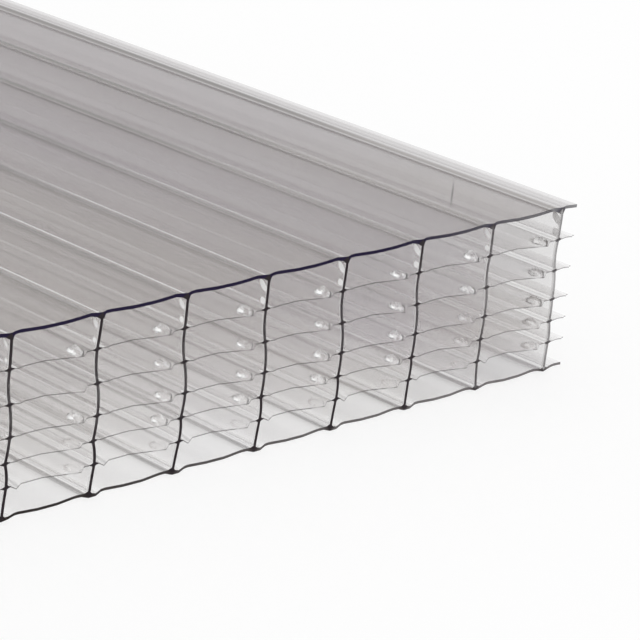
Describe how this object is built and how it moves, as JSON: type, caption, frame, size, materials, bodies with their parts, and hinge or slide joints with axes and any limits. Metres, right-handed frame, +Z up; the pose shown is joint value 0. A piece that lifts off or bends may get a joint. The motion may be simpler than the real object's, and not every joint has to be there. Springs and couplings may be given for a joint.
{
  "type": "multiwall glazing sheet",
  "caption": "Clear ribbed plastic glazing sheet with two skins and five thin inner walls on upright webs, leaving long open chambers.",
  "frame": {"origin": "middle of the sheet's footprint, on the level plane its lowest strips rest on", "axes": "+Y along the ribs and chambers, +X across the sheet towards the edge that was cut through a chamber, +Z up through the thickness; the sawn end that the picture shows faces -Y"},
  "size_m": [0.6884, 2, 0.035],
  "materials": {
    "clear_polycarbonate": "clear, glossy, faint flow streaks along the ribs"
  },
  "bodies": {
    "root": {"multiwall_sheet": "clear_polycarbonate"}
  },
  "joints": []
}
